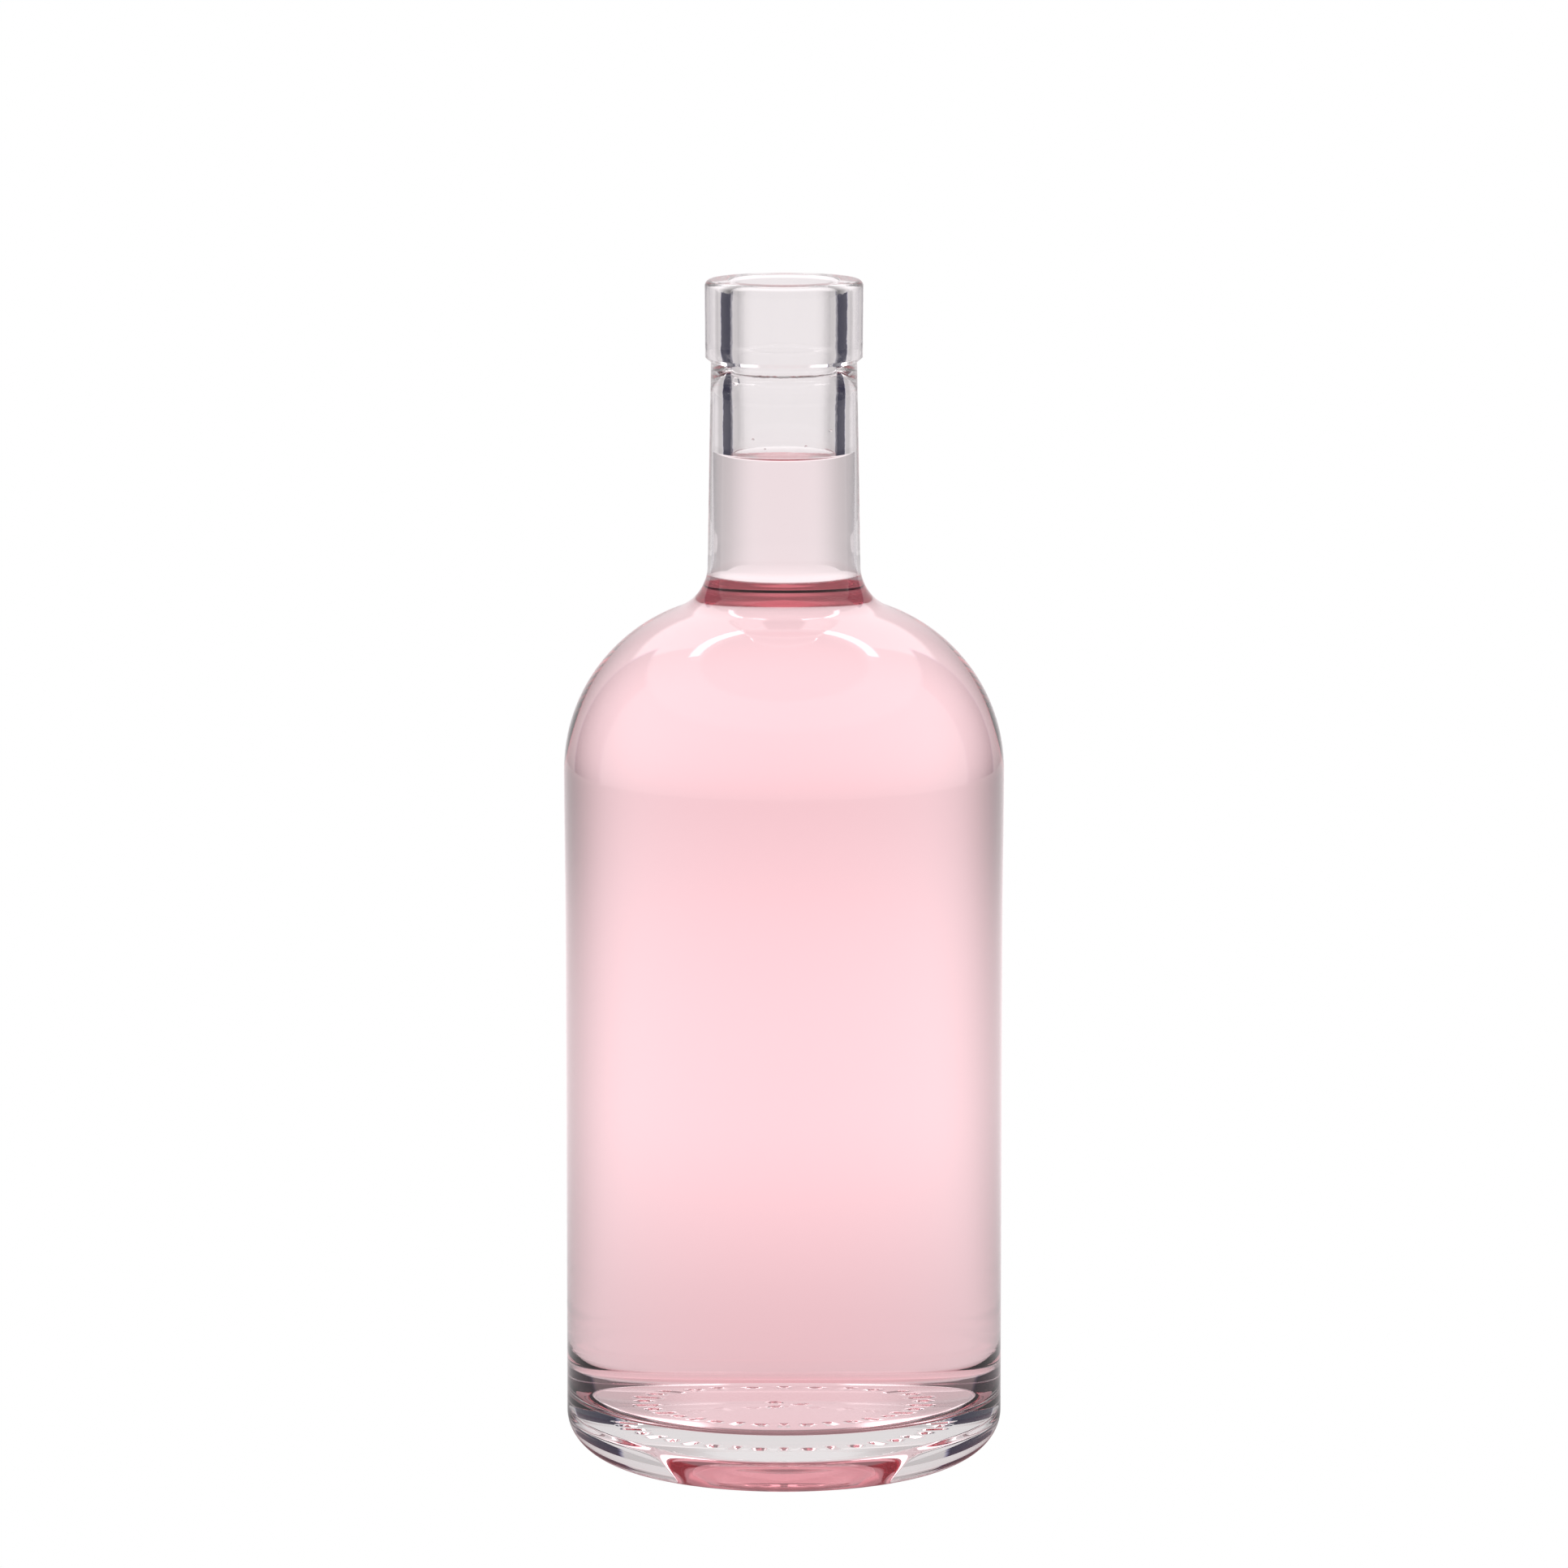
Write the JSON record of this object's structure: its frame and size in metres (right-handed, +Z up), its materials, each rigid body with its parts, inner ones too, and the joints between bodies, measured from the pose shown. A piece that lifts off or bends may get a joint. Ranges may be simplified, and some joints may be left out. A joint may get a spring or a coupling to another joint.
{
  "type": "filled glass bottle",
  "caption": "Round bottle of clear glass with a domed shoulder, a straight neck and a cork mouth with a collar, filled with a pink drink to the middle of its neck.",
  "frame": {"origin": "centre of the ring that the bottle stands on", "axes": "+Z up along the bottle's axis; the bottle is round, so X and Y are free"},
  "size_m": [0.0838, 0.0838, 0.227],
  "materials": {
    "flint_glass": "polished",
    "pink_drink": "polished"
  },
  "bodies": {
    "root": {"glass_bottle": "flint_glass", "drink": "pink_drink"}
  },
  "joints": []
}
